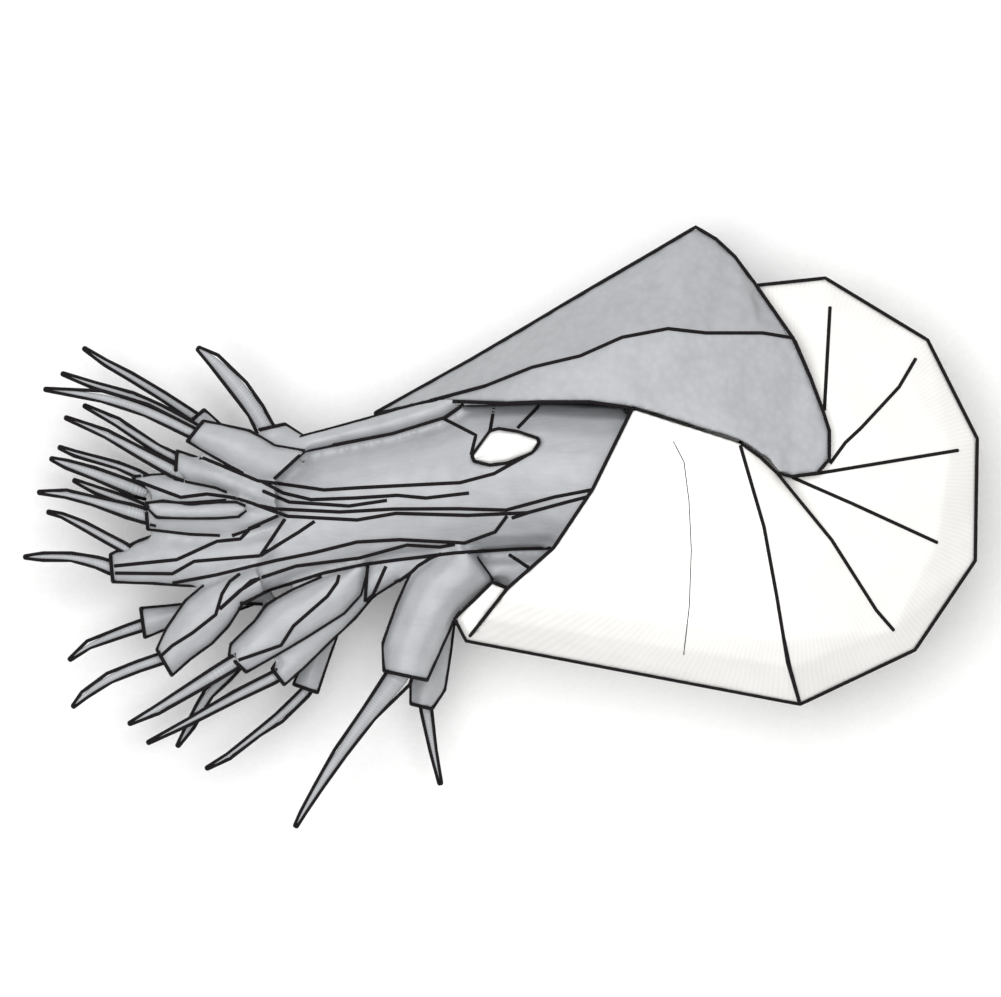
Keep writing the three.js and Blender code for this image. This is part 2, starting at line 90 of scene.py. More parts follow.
HOOD_FOLD = (
    (-108.6, 22.9), (-91.8, 27.4), (-78, 32.9), (-63.6, 36.3), (-51, 41.9), (-37.2, 44.5), (-25.8, 43.2),
    (-8.7, 43.2), (0.3, 41.7),
)
HOOD_SEAM = ((-16, 10.6), (-9.6, 6), (-3.9, 0.6))
GROWTH_LINES = (
    ((11.4, 51), (9.7, 19.9)),
    ((37.1, 35.5), (32.1, 27), (20.6, 14.6), (16, 10.3), (11.4, 4)),
    ((49.8, 8), (8, 1.1), (-0.1, 0.1)),
    ((43.6, -19.7), (18.3, -8.1), (0, -0.1)),
    ((30.5, -46), (25.3, -40), (11.9, -18.9), (-4.2, 0.8)),
    ((-15.8, 10.4), (-8.4, -15), (-4.6, -35.7), (-1.3, -55.7), (2.4, -68.2)),
)
MUSCLE_SCAR = ((-35.6, 10.7), (-32.4, 4.5), (-30.9, -7.2), (-30.2, -21.9), (-30.8, -38.7), (-32.5, -53.4))
EYE_FOLDS = (
    ((-98.7, 21.7), (-104.7, 17.6), (-94.8, 12.5), (-96.3, 6.6)),
    ((-89.2, 21.6), (-90.6, 13.8)),
    ((-75, 22.2), (-82.3, 14.7)),
)
ARM_FOLDS = (
    ((-160.2, -1.1), (-140.4, -3.9), (-129.6, -3.2), (-99.6, -1.7), (-89.4, 1), (-85.3, 3.3), (-77.7, 7.5)),
    ((-158.7, -1.5), (-152.7, -4.8), (-144.3, -6.8), (-130.8, -6.3), (-118.5, -5.5), (-109.8, -6.3),
     (-96.9, -4.8)),
    ((-158.7, -4.2), (-150.9, -7.5), (-132.9, -8.7), (-121.5, -7)),
    ((-159.6, -8.6), (-154.8, -9.6), (-135.6, -10.5), (-119.4, -9.6), (-100.2, -9.5), (-85.8, -9.9),
     (-71.4, -6), (-60.3, -3.9)),
    ((-154.5, -10.7), (-151.2, -11.8), (-130.5, -12.9), (-118.8, -10.9), (-97.2, -11.5), (-79.3, -10.7),
     (-67.5, -7.5), (-61.5, -6)),
    ((-84, -12.3), (-79.5, -10.8)),
    ((-85.5, -11.7), (-89.1, -16.5), (-98.2, -19.8), (-117.6, -18.8), (-130.5, -19.5), (-143.7, -22.8),
     (-155.1, -25.1), (-172.8, -29.4), (-185.7, -31.8)),
    ((-101.2, -20.2), (-105.6, -21), (-115.5, -20.4), (-129.9, -24.3), (-148.8, -26.7), (-162.3, -31.2),
     (-171.6, -39.6)),
    ((-165, -38.1), (-156.8, -33.9), (-140.4, -28.8), (-127.5, -26.1), (-118.9, -24.9), (-101.2, -22.8),
     (-83.8, -21.6), (-72.3, -21.3)),
)
CREASES = (
    ((-146.3, 7.7), (-155.2, -0.4)),
    ((-152.1, -12.6), (-159.5, -23.6)),
    ((-143.2, -13.3), (-147.9, -16.5), (-159.5, -23.6)),
    ((-127.3, -25.8), (-128.1, -37.2)),
    ((-121.8, -26.8), (-125.7, -35.3), (-127.9, -37.3)),
    ((-163, -15.5), (-154.2, -11.6)),
    ((-161.4, -8.1), (-152.7, -11.3)),
    ((-117.9, -31.2), (-114.3, -28.7), (-112.2, -26.7), (-108.3, -24.3), (-105.3, -23.1)),
    ((-84.9, -23.3), (-78.1, -27.8)),
)
SHEATH_FOLDS = (
    ((-137.8, 9.6), (-120, 13), (-103.8, 18), (-98.4, 21.9)),
    ((-176.7, 5.7), (-160.2, -1.1)),
    ((-165.6, -37.9), (-158.7, -38.1)),
    ((-196.5, -1.2), (-183.4, -6.1), (-175.5, -5.1), (-168, -6.1), (-161.1, -8.1)),
    ((-203.3, -26.7), (-184.6, -24.8), (-172.5, -19.3), (-165.5, -18.6), (-163, -15.9)),
    ((-204, -28.8), (-185.9, -29), (-179.4, -25.3), (-159.6, -23.6)),
    ((-189.1, -53.5), (-185.9, -50.6), (-179.9, -46.8), (-172.9, -41.3), (-171, -35.1), (-168.7, -31.4),
     (-165.7, -29.1)),
    ((-171.7, -39.6), (-165.7, -34.1), (-159.6, -30.3)),
    ((-166, -54.9), (-153.3, -50.5), (-149.6, -44.7), (-139.4, -35.8), (-136.4, -31.6), (-135.9, -29.6)),
)

# The sheaths in the order in which each is cut by those before it.
SHEATH_ORDER = (
    "dorsal", "fold_flap", "upper", "second", "fourth", "third", "fifth", "sixth", "seventh", "eighth",
    "ventral", "upper_far", "sixth_far", "eighth_far", "ventral_far", "dorsal_far", "second_far",
    "fourth_far", "third_far", "fifth_far", "seventh_far",
)

# A line nearer than COVER_GAP to a cover is hidden by it. A shorter line than SHORTEST_LINE is left out. One
# whose height changes by more than LEVEL_JUMP in a step is cut there. LIFT is the deepest groove that an
# outline is raised out of.
COVER_GAP = 1.5 * MM
SHORTEST_LINE = 5 * MM
LEVEL_JUMP = 1.5 * MM
LIFT = 2.5 * MM
OUTLINE_STEP = 2 * MM
FOLD_STEP = 1 * MM

# Behind this plane the body lies hidden in the shell and gets no skin.
BODY_BACK = UMBILICUS.x - 40 * MM

# A height or depth that is outside the whole animal.
CLEAR_OF_ALL = 100 * MM

# The film of water on the skin of the arms.
WET_FILM = {"Roughness": 0.5, "IOR": 1.4, "Coat Weight": 0.15, "Coat Roughness": 0.3}

# The stage, in metres and watts. The camera looks straight down, VIEW_CENTRE away from the umbilicus.
FLOOR_HALF = 3
WORLD_LIGHT = 0.5
LAMP_PLACE = Vector((-0.15, 0.15, 1.6))
LAMP_WIDTH = 1.2
LAMP_POWER = 21
CAMERA_HEIGHT = 1.5
VIEW_WIDTH = 300.3 * MM
VIEW_CENTRE = Vector((-87.45 * MM, -6.45 * MM, 0))


def linear(code):
    """An sRGB hex colour as linear red, green and blue."""
    parts = [int(code[i:i + 2], 16) / 255 for i in (0, 2, 4)]
    return [p / 12.92 if p <= 0.04045 else ((p + 0.055) / 1.055) ** 2.4 for p in parts]


def nodes_named(*prefixes):
    """The CAD nodes whose names start with one of the prefixes, in order."""
    return sorted(name for name in frame["nodes"] if name.startswith(prefixes))


# ---- meshes ----

def merged_copy(*names):
    """A bmesh of some CAD nodes, with their loose triangles merged."""
    bm = bmesh.new()
    for name in names:
        bm.from_mesh(frame["nodes"][name].data)
    bmesh.ops.remove_doubles(bm, verts=bm.verts, dist=WELD)
    return bm


def grow(bm, distance):
    """Moves every face outwards by distance, or inwards where it is negative."""
    bm.normal_update()
    moves = [v.normal * distance * min(v.calc_shell_factor(), 2) for v in bm.verts]
    for vert, move in zip(bm.verts, moves):
        vert.co += move


def reskin(bm, voxel):
    """Replaces overlapping closed solids by the one even skin that wraps them."""
    mesh = bpy.data.meshes.new("lump")
    bm.to_mesh(mesh)
    lump = bpy.data.objects.new("lump", mesh)
    bpy.context.collection.objects.link(lump)
    modifier = lump.modifiers.new("Skin", "REMESH")
    modifier.mode = "VOXEL"
    modifier.voxel_size = voxel
    wrapped = bpy.data.meshes.new_from_object(lump.evaluated_get(bpy.context.evaluated_depsgraph_get()))
    bm.clear()
    bm.from_mesh(wrapped)
    bpy.data.objects.remove(lump)
    bpy.data.meshes.remove(mesh)
    bpy.data.meshes.remove(wrapped)


def soften(bm, rounds):
    """Moves every point halfway to the middle of its neighbours, once for each round."""
    for _ in range(rounds):
        bmesh.ops.smooth_vert(
            bm, verts=bm.verts, factor=0.5, use_axis_x=True, use_axis_y=True, use_axis_z=True)


def roughen(bm, height, size, seed):
    """Raises the skin by soft noise. Height is the most that it moves, size the width of one bump, and each
    seed gives other bumps."""
    bm.normal_update()
    moves = []
    for vert in bm.verts:
        at = vert.co / size + Vector((seed, 0, 0))
        moves.append(vert.normal * height * noise.noise(at))
    for vert, move in zip(bm.verts, moves):
        vert.co += move


def keep_front(bm, back):
    """Cuts off all that lies behind a plane across the animal, and closes the cut."""
    everything = [*bm.verts, *bm.edges, *bm.faces]
    bmesh.ops.bisect_plane(bm, geom=everything, plane_co=(back, 0, 0), plane_no=(1, 0, 0), clear_outer=True)
    bmesh.ops.holes_fill(bm, edges=[edge for edge in bm.edges if edge.is_boundary])


def mark_along(bm):
    """Stores each point's distance from the head along the piece, in metres, as the attribute "along"."""
    hub = head_middle()
    ordered = sorted(bm.verts, key=lambda v: (v.co - hub).length)
    root, tip = ordered[0].co, ordered[-1].co
    axis = (tip - root).normalized()
    layer = bm.verts.layers.float.new("along")
    for vert in bm.verts:
        vert[layer] = (vert.co - root).dot(axis)


def add_piece(name, bm, material, replaced=()):
    """Makes the bmesh a finished object that rides on the body and stands for some CAD nodes."""
    mesh = bpy.data.meshes.new(name)
    for face in bm.faces:
        face.smooth = True
    bm.to_mesh(mesh)
    bm.free()
    mesh.materials.append(material)
    piece = bpy.data.objects.new(name, mesh)
    bpy.context.collection.objects.link(piece)
    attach(piece, "root")
    if replaced:
        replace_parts(piece, *replaced)
    return piece


# ---- line work ----

def tree_of(objects):
    """A search tree of the surfaces of some mesh objects, as they are."""
    verts = []
    faces = []
    for thing in objects:
        first = len(verts)
        verts.extend(v.co.copy() for v in thing.data.vertices)
        faces.extend([first + i for i in face.vertices] for face in thing.data.polygons)
    return BVHTree.FromPolygons(verts, faces)


def head_middle():
    """The middle of the near eye, which every sheath and cirrus points away from."""
    low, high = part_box("eye_near")
    return (low + high) / 2


def facing(face):
    """1 for a face that looks up, -1 for one that looks down, 0 for one that stands."""
    least_tilt = 0.05
    return 0 if abs(face.normal.z) < least_tilt else math.copysign(1, face.normal.z)


def outline_edges(bm, rooted):
    """Edges where the surface turns over, seen square to the mirror plane. On a rooted piece, those round
    its root are left out."""
    bm.normal_update()
    hub = head_middle()
    middle = sum((v.co for v in bm.verts), Vector()) / len(bm.verts)
    reach = (middle.xy - hub.xy).length
    found = []
    for edge in bm.edges:
        if len(edge.link_faces) != 2:
            continue
        one, other = edge.link_faces
        if facing(one) == facing(other):
            continue
        standing = [f for f in (one, other) if facing(f) == 0]
        if rooted and standing and (standing[0].calc_center_median().xy - hub.xy).length < reach:
            continue
        found.append(edge)
    return found


def is_covered(point, covers):
    """True where another piece lies against the point and hides it."""
    return any(cover.find_nearest(point, COVER_GAP)[0] is not None for cover in covers)


def is_cut(face, cutters):
    """True for a wall that another piece has cut, which faces that piece across a narrow gap."""
    squareness = 0.7
    centre = face.calc_center_median()
    for cutter in cutters:
        nearest, _, _, distance = cutter.find_nearest(centre, COVER_GAP)
        if nearest is not None and (nearest - centre).dot(face.normal) > squareness * distance:
            return True
    return False


def is_buried(point, own):
    """True where a piece's own surface lies both over and under a point of it."""
    step = Vector((0, 0, 0.3 * MM))
    return all(own.ray_cast(point + step * side, step * side)[0] is not None for side in (1, -1))


def uncovered(edges, own, cutters, covers):
    """The edges that show: not inside the piece, on a cut or under a cover, nor in a stray short run."""
    kept = []
    for edge in edges:
        middle = (edge.verts[0].co + edge.verts[1].co) / 2
        hidden = is_buried(middle, own) or is_covered(middle, covers)
        if not hidden and not any(is_cut(face, cutters) for face in edge.link_faces):
            kept.append(edge)
    at = {}
    for edge in kept:
        for vert in edge.verts:
            at.setdefault(vert, []).append(edge)
    left = dict.fromkeys(kept)
    result = []
    while left:
        run = []
        waiting = [left.popitem()[0]]
        while waiting:
            edge = waiting.pop()
            run.append(edge)
            for other in at[edge.verts[0]] + at[edge.verts[1]]:
                if other in left:
                    del left[other]
                    waiting.append(other)
        if sum(edge.calc_length() for edge in run) > SHORTEST_LINE:
            result.extend(run)
    return result


def chains(edges):
    """Lists of points along connected edges. A chain ends where it meets more than one other."""
    at = {}
    for edge in edges:
        for vert in edge.verts:
            at.setdefault(vert, []).append(edge)
    left = set(edges)
    ends = [vert for vert, met in at.items() if len(met) != 2]
    result = []
    for start in ends + list(at):
        for edge in at[start]:
            if edge not in left:
                continue
            vert = start
            points = [vert.co.copy()]
            while edge in left:
                left.remove(edge)
                vert = edge.other_vert(vert)
                points.append(vert.co.copy())
                onward = [e for e in at[vert] if e in left]
                if len(at[vert]) == 2 and onward:
                    edge = onward[0]
            result.append(points)
    return result


def spaced(points, step):
    """The same polyline with no more than a step between its points."""
    result = [points[0]]
    for start, end in zip(points, points[1:]):
        count = max(1, math.ceil((end - start).length / step))
        result.extend(start.lerp(end, i / count) for i in range(1, count + 1))
    return result


def laid_on(points, skin, side, reach):
    """A route laid on the skin that faces side, +1 for up and -1 for down. It is as high as the highest skin
    within reach beside it, which holds it clear of a groove's walls."""
    outside = UMBILICUS.z + side * CLEAR_OF_ALL
    result = []
    for i, point in enumerate(points):
        before = points[max(i - 1, 0)]
        after = points[min(i + 1, len(points) - 1)]
        along = (after - before).xy.normalized()
        beside = Vector((-along.y, along.x, 0)) * reach
        levels = []
        for probe in (point, point + beside, point - beside):
            hit = skin.ray_cast(Vector((probe.x, probe.y, outside)), Vector((0, 0, -side)))[0]
            if hit is not None:
                levels.append(hit.z * side)
        if levels:
            result.append(Vector((point.x, point.y, max(levels) * side)))
    return split_at_jumps(result, [point.z for point in result])


def raised(points, skin):
    """An outline lifted onto the skin where a groove between two pieces buries it."""
    result = []
    for point in points:
        side = 1 if point.z > UMBILICUS.z else -1
        hit = skin.ray_cast(point + Vector((0, 0, LIFT * side)), Vector((0, 0, -side)), LIFT)[0]
        result.append(point if hit is None else hit)
    return split_at_jumps(result, [after.z - before.z for before, after in zip(points, result)])


def split_at_jumps(points, heights):
    """Cuts a line wherever its height jumps. The part before goes on to the next place at its own level, so
    that no gap shows from above."""
    runs = [points[:1]]
    for i in range(1, len(points)):
        if abs(heights[i] - heights[i - 1]) > LEVEL_JUMP:
            runs[-1].append(Vector((points[i].x, points[i].y, points[i - 1].z)))
            runs.append([])
        runs[-1].append(points[i])
    return runs


def add_lines(name, routes, width, material):
    """Routes as rods of one width, in one object."""
    curve = bpy.data.curves.new(name, "CURVE")
    curve.dimensions = "3D"
    curve.bevel_depth = width / 2
    curve.bevel_resolution = 1
    curve.use_fill_caps = True
    for points in routes:
        if len(points) < 2:
            continue
        spline = curve.splines.new("POLY")
        spline.points.add(len(points) - 1)
        for target, point in zip(spline.points, points):
            target.co = (*point, 1)
    rods = bpy.data.objects.new(name + "_rods", curve)
    bpy.context.collection.objects.link(rods)
    bm = bmesh.new()
    made = bpy.data.meshes.new_from_object(rods.evaluated_get(bpy.context.evaluated_depsgraph_get()))
    bm.from_mesh(made)
    bpy.data.objects.remove(rods)
    add_piece(name, bm, material)


def route_points(route):
    """A route's places, at the height of the mirror plane."""
    return [UMBILICUS + Vector((x * MM, y * MM, 0)) for x, y in route]


# ---- materials ----

def add_node(material, kind, settings=(), links=()):
    """Adds a shader node. Settings are its properties and the values of its sockets. Links feed its sockets
    from another node's first output or from a socket. A socket is given by name or by number."""
    node = material.node_tree.nodes.new(kind)
    for key, value in dict(settings).items():
        if isinstance(key, str) and hasattr(node, key):
            setattr(node, key, value)
        else:
            node.inputs[key].default_value = value
    for key, source in dict(links).items():
        socket = source.outputs[0] if isinstance(source, bpy.types.Node) else source
        material.node_tree.links.new(socket, node.inputs[key])
    return node


def new_material(name):
    """An empty material, and the places on the piece in metres from the umbilicus."""
    material = bpy.data.materials.new(name)
    material.use_nodes = True
    material.node_tree.nodes.clear()
    texture = add_node(material, "ShaderNodeTexCoord")
    places = add_node(
        material, "ShaderNodeMapping", {"Location": -UMBILICUS}, {"Vector": texture.outputs["Object"]})
    return material, places


def between(material, tone, dark, light):
    """A colour that goes from dark to light as the tone goes from 0.3 to 0.7, the spread of soft noise."""
    share = add_node(material, "ShaderNodeMapRange", {"From Min": 0.3, "From Max": 0.7}, {"Value": tone})
    mix = add_node(material, "ShaderNodeMix", {"data_type": "RGBA"}, {"Factor": share})
    first, second = (socket for socket in mix.inputs if socket.type == "RGBA")
    first.default_value = (*dark, 1)
    second.default_value = (*light, 1)
    return next(socket for socket in mix.outputs if socket.type == "RGBA")


def finish(material, colour, height, relief, surface):
    """Gives the material its colour, a relief whose height runs from 0 to 1 over a real depth in metres, and
    the constants of its surface."""
    bump = add_node(material, "ShaderNodeBump", {"Distance": relief, "Strength": 1.0}, {"Height": height})
    shader = add_node(
        material, "ShaderNodeBsdfPrincipled", surface, {"Base Color": colour, "Normal": bump})
    add_node(material, "ShaderNodeOutputMaterial", links={"Surface": shader})
    return material


def porcelain(settings):
    """Unpigmented nautilus shell. Faint growth lines fan out from the umbilicus, about 1.3 mm apart at the
    keel, under a smooth gloss, and the white clouds a little from place to place. The troughs of the growth
    lines are painted darker: painted shade."""
    material, places = new_material("white_nautilus_porcelain")
    striae_round = 260
    turn = add_node(material, "ShaderNodeTexGradient", {"gradient_type": "RADIAL"}, {"Vector": places})
    angle = add_node(
        material, "ShaderNodeMath", {"operation": "MULTIPLY", 1: striae_round * 2 * math.pi},
        {0: turn.outputs["Fac"]})
    sway = add_node(
        material, "ShaderNodeTexNoise", {"Scale": 1 / (9 * MM), "Detail": 3}, {"Vector": places})
    swayed = add_node(material, "ShaderNodeMath", {"operation": "MULTIPLY_ADD", 1: 5.0}, {0: sway, 2: angle})
    sine = add_node(material, "ShaderNodeMath", {"operation": "SINE"}, {0: swayed})
    wave = add_node(material, "ShaderNodeMath", {"operation": "MULTIPLY_ADD", 1: 0.5, 2: 0.5}, {0: sine})
    reach = add_node(material, "ShaderNodeVectorMath", {"operation": "LENGTH"}, {0: places})
    share = add_node(
        material, "ShaderNodeMath", {"operation": "DIVIDE", 1: COIL_RADIUS}, {0: reach.outputs["Value"]})
    outward = add_node(material, "ShaderNodeMath", {"operation": "MINIMUM", 1: 1.0}, {0: share})
    striae_relief_and_shade = add_node(material, "ShaderNodeMath", {"operation": "MULTIPLY"}, {0: wave, 1: outward})
    cloud = add_node(
        material, "ShaderNodeTexNoise", {"Scale": 1 / (14 * MM), "Detail": 4}, {"Vector": places})
    clouded = add_node(material, "ShaderNodeMath", {"operation": "MULTIPLY", 1: 0.8}, {0: cloud})
    # Painted shade: a quarter of the growth-line relief goes into the tone, so the troughs of the lines come
    # out darker.
    tone = add_node(
        material, "ShaderNodeMath", {"operation": "MULTIPLY_ADD", 1: 0.25}, {0: striae_relief_and_shade, 2: clouded})
    colour = between(material, tone, settings.shell_dark, settings.shell_light)
    gloss = {"Roughness": 0.32, "IOR": 1.53, "Coat Weight": 0.35, "Coat Roughness": 0.12}
    return finish(material, colour, striae_relief_and_shade, 0.03 * MM, gloss)


def hood_hide(settings):
    """The tough hide of the hood: low round warts 2.4 mm apart, pores between them, a dull wax gloss. Its
    colour is painted lighter on the wart tops and darker in the hollows between them: painted shade.
    """
    material, places = new_material("warty_hood_hide")
    warts = add_node(
        material, "ShaderNodeTexVoronoi",
        {"feature": "SMOOTH_F1", "Scale": 1 / (2.4 * MM), "Smoothness": 0.6}, {"Vector": places})
    wart_relief_and_shade = add_node(material, "ShaderNodeMath", {"operation": "SUBTRACT", 0: 1.0}, {1: warts})
    pores = add_node(
        material, "ShaderNodeTexNoise", {"Scale": 1 / (0.5 * MM), "Detail": 2}, {"Vector": places})
    height = add_node(
        material, "ShaderNodeMath", {"operation": "MULTIPLY_ADD", 1: 0.25}, {0: pores, 2: wart_relief_and_shade})
    cloud = add_node(
        material, "ShaderNodeTexNoise", {"Scale": 1 / (11 * MM), "Detail": 4}, {"Vector": places})
    clouded = add_node(material, "ShaderNodeMath", {"operation": "MULTIPLY", 1: 0.7}, {0: cloud})
    # Painted shade: part of the wart relief goes into the tone, so the wart tops come out lighter and the
    # hollows between them darker.
    tone = add_node(
        material, "ShaderNodeMath", {"operation": "MULTIPLY_ADD", 1: 0.3}, {0: wart_relief_and_shade, 2: clouded})
    colour = between(material, tone, settings.hood_dark, settings.hood_light)
    return finish(material, colour, height, 0.16 * MM, {"Roughness": 0.55, "IOR": 1.45})


def moist_skin(settings):
    """Wet cephalopod skin: fine wrinkling along the arms, 0.9 mm apart, soft mottling and a thin film of
    water that gives it a broad gloss. The wrinkle troughs are painted darker: painted shade."""
    material, places = new_material("moist_arm_skin")
    stretched = add_node(material, "ShaderNodeMapping", {"Scale": (0.16, 1, 1)}, {"Vector": places})
    wrinkle_relief_and_shade = add_node(
        material, "ShaderNodeTexNoise", {"Scale": 1 / (0.9 * MM), "Detail": 2}, {"Vector": stretched})
    grain = add_node(
        material, "ShaderNodeTexNoise", {"Scale": 1 / (0.4 * MM), "Detail": 1}, {"Vector": places})
    height = add_node(
        material, "ShaderNodeMath", {"operation": "MULTIPLY_ADD", 1: 0.3}, {0: grain, 2: wrinkle_relief_and_shade})
    mottle = add_node(
        material, "ShaderNodeTexNoise", {"Scale": 1 / (7 * MM), "Detail": 5}, {"Vector": places})
    mottled = add_node(material, "ShaderNodeMath", {"operation": "MULTIPLY", 1: 0.75}, {0: mottle})
    # Painted shade: a quarter of the wrinkle relief goes into the tone, so the wrinkle troughs come out
    # darker.
    tone = add_node(
        material, "ShaderNodeMath", {"operation": "MULTIPLY_ADD", 1: 0.25}, {0: wrinkle_relief_and_shade, 2: mottled})
    colour = between(material, tone, settings.skin_dark, settings.skin_light)
    return finish(material, colour, height, 0.1 * MM, WET_FILM)


def ringed_skin(settings):
    """The skin of a cirrus, ringed every 0.9 mm so that it grips. The ring troughs are painted darker:
    painted shade.
    """
    material, places = new_material("ringed_cirrus_skin")
    ring_spacing = 0.9 * MM
    along = add_node(material, "ShaderNodeAttribute", {"attribute_name": "along"})
    turns = add_node(
        material, "ShaderNodeMath", {"operation": "MULTIPLY", 1: 2 * math.pi / ring_spacing},
        {0: along.outputs["Fac"]})
    sine = add_node(material, "ShaderNodeMath", {"operation": "SINE"}, {0: turns})
    ring_relief_and_shade = add_node(material, "ShaderNodeMath", {"operation": "MULTIPLY_ADD", 1: 0.5, 2: 0.5}, {0: sine})
    mottle = add_node(
        material, "ShaderNodeTexNoise", {"Scale": 1 / (5 * MM), "Detail": 4}, {"Vector": places})
    mottled = add_node(material, "ShaderNodeMath", {"operation": "MULTIPLY", 1: 0.75}, {0: mottle})
    # Painted shade: a quarter of the ring relief goes into the tone, so the ring troughs come out darker.
    tone = add_node(
        material, "ShaderNodeMath", {"operation": "MULTIPLY_ADD", 1: 0.25}, {0: ring_relief_and_shade, 2: mottled})
    colour = between(material, tone, settings.skin_dark, settings.skin_light)
    return finish(material, colour, ring_relief_and_shade, 0.12 * MM, WET_FILM)


def cornea(settings):
    """The blank white front of the eye: wet, so it mirrors the lights, and slightly clouded."""
    material, places = new_material("wet_white_cornea")
    cloud = add_node(
        material, "ShaderNodeTexNoise", {"Scale": 1 / (3 * MM), "Detail": 3}, {"Vector": places})
    colour = between(material, cloud, settings.eye_dark, settings.eye_light)
    tears = {"Roughness": 0.15, "IOR": 1.38, "Coat Weight": 0.6, "Coat Roughness": 0.05}
    return finish(material, colour, cloud, 0.03 * MM, tears)


def ink(settings):
    """Thick matt black ink, raised like enamel piping: dull, with a slight grain."""
    material, places = new_material("matt_black_ink")
    grain = add_node(
        material, "ShaderNodeTexNoise", {"Scale": 1 / (0.5 * MM), "Detail": 2}, {"Vector": places})
    colour = between(material, grain, settings.ink_dark, settings.ink_light)
    return finish(material, colour, grain, 0.03 * MM, {"Roughness": 0.85, "Specular IOR Level": 0.12})


def rag_paper(settings):
    """A sheet of white cotton paper: dead matt, with a fine tooth."""
    material, places = new_material("white_cotton_paper")
    tooth = add_node(
        material, "ShaderNodeTexNoise", {"Scale": 1 / (1.2 * MM), "Detail": 3}, {"Vector": places})
    colour = between(material, tooth, settings.paper_dark, settings.paper_light)
    return finish(material, colour, tooth, 0.02 * MM, {"Roughness": 0.95})


# ---- operators ----

def length_setting(name, description, default):
    """A setting in metres."""
    return bpy.props.FloatProperty(
        name=name, description=description, default=default, unit="LENGTH", precision=5)


def colour_setting(name, description, code):
    """A setting for a colour, whose default is given in sRGB hex."""
    return bpy.props.FloatVectorProperty(
        name=name, description=description, default=linear(code), subtype="COLOR", min=0, max=1)


class NautilusSettings(bpy.types.PropertyGroup):
    line_width: length_setting("Line width", "Width of the outlines and folds", 1.1 * MM)
    hairline_width: length_setting("Hairline width", "Width of the scar line on the flank", 0.3 * MM)
    inset: length_setting("Inset", "How far each skin stays inside its outline", 0.25 * MM)
    clearance: length_setting("Clearance", "Gap between two fleshy pieces, which the skin closes", 0.45 * MM)
    closing: length_setting("Closing", "Half the width of the grooves that the skin bridges", 0.6 * MM)
    shell_dark: colour_setting("Shell, dark", "Darker tone of the shell", "f0efeb")
    shell_light: colour_setting("Shell, light", "Lighter tone of the shell", "f9f8f5")
    hood_dark: colour_setting("Hood, dark", "Darker tone of the hood", "a4a6a9")
    hood_light: colour_setting("Hood, light", "Lighter tone of the hood", "b0b2b5")
    skin_dark: colour_setting("Skin, dark", "Darker tone of the head and arms", "a6a8ab")
    skin_light: colour_setting("Skin, light", "Lighter tone of the head and arms", "b4b6b9")
    eye_dark: colour_setting("Eye, dark", "Darker tone of the eyes", "f1f1ee")
    eye_light: colour_setting("Eye, light", "Lighter tone of the eyes", "fbfbf9")
    ink_dark: colour_setting("Ink, dark", "Darker tone of the lines", "171416")
    ink_light: colour_setting("Ink, light", "Lighter tone of the lines", "201c1e")
    paper_dark: colour_setting("Paper, dark", "Darker tone of the floor", "fbfbfa")
    paper_light: colour_setting("Paper, light", "Lighter tone of the floor", "ffffff")


class NAUTILUS_OT_shell(bpy.types.Operator):
    """Make the shell from its CAD solid"""
    bl_idname = "nautilus.shell"
    bl_label = "Shell"

    def execute(self, context):
        settings = context.scene.nautilus
        bm = merged_copy("shell")
        reskin(bm, voxel=1.0 * MM)
        soften(bm, rounds=2)
        grow(bm, -settings.inset)
        add_piece("shell_porcelain", bm, porcelain(settings), ["shell"])
        return {"FINISHED"}


class NAUTILUS_OT_hood(bpy.types.Operator):
    """Make the leathery hood from its CAD solid"""
    bl_idname = "nautilus.hood"
    bl_label = "Hood"

    def execute(self, context):
        settings = context.scene.nautilus
        bm = merged_copy("hood")
        reskin(bm, voxel=0.9 * MM)
        soften(bm, rounds=4)
        grow(bm, -settings.inset)
        roughen(bm, height=0.2 * MM, size=4 * MM, seed=3)
        add_piece("hood_leather", bm, hood_hide(settings), ["hood"])
        return {"FINISHED"}


class NAUTILUS_OT_flesh(bpy.types.Operator):
    """Make the head, its sheaths and the funnel one skin"""
    bl_idname = "nautilus.flesh"
    bl_label = "Head and sheaths"

    def execute(self, context):
        settings = context.scene.nautilus
        names = nodes_named("head", "sheath", "funnel")
        # A little over half of each gap, so that neighbours meet and become one skin.
        meeting = settings.clearance * 0.6
        bm = merged_copy(*names)
        grow(bm, meeting)
        reskin(bm, voxel=0.6 * MM)
        keep_front(bm, BODY_BACK)
        grow(bm, settings.closing)
        reskin(bm, voxel=0.95 * MM)
        soften(bm, rounds=4)
        grow(bm, -settings.closing - meeting)
        soften(bm, rounds=1)
        roughen(bm, height=0.15 * MM, size=5 * MM, seed=7)
        add_piece("head_skin", bm, moist_skin(settings), names)
        return {"FINISHED"}


class NAUTILUS_OT_cirri(bpy.types.Operator):
    """Make each cirrus from its CAD solid"""
    bl_idname = "nautilus.cirri"
    bl_label = "Cirri"

    def execute(self, context):
        settings = context.scene.nautilus
        material = ringed_skin(settings)
        for name in nodes_named("cirrus"):
            bm = merged_copy(name)
            bmesh.ops.join_triangles(
                bm, faces=bm.faces, angle_face_threshold=math.radians(20),
                angle_shape_threshold=math.radians(60))
            grow(bm, -settings.inset)
            mark_along(bm)
            piece = add_piece(name + "_skin", bm, material, [name])
            rounding = piece.modifiers.new("Rounding", "SUBSURF")
            rounding.levels = 2
            rounding.render_levels = 2
        return {"FINISHED"}


class NAUTILUS_OT_eyes(bpy.types.Operator):
    """Make the two eyes"""
    bl_idname = "nautilus.eyes"
    bl_label = "Eyes"

    def execute(self, context):
        settings = context.scene.nautilus
        material = cornea(settings)
        for name in nodes_named("eye"):
            bm = merged_copy(name)
            reskin(bm, voxel=0.4 * MM)
            soften(bm, rounds=5)
            grow(bm, -settings.inset)
            add_piece(name + "_cornea", bm, material, [name])
        return {"FINISHED"}


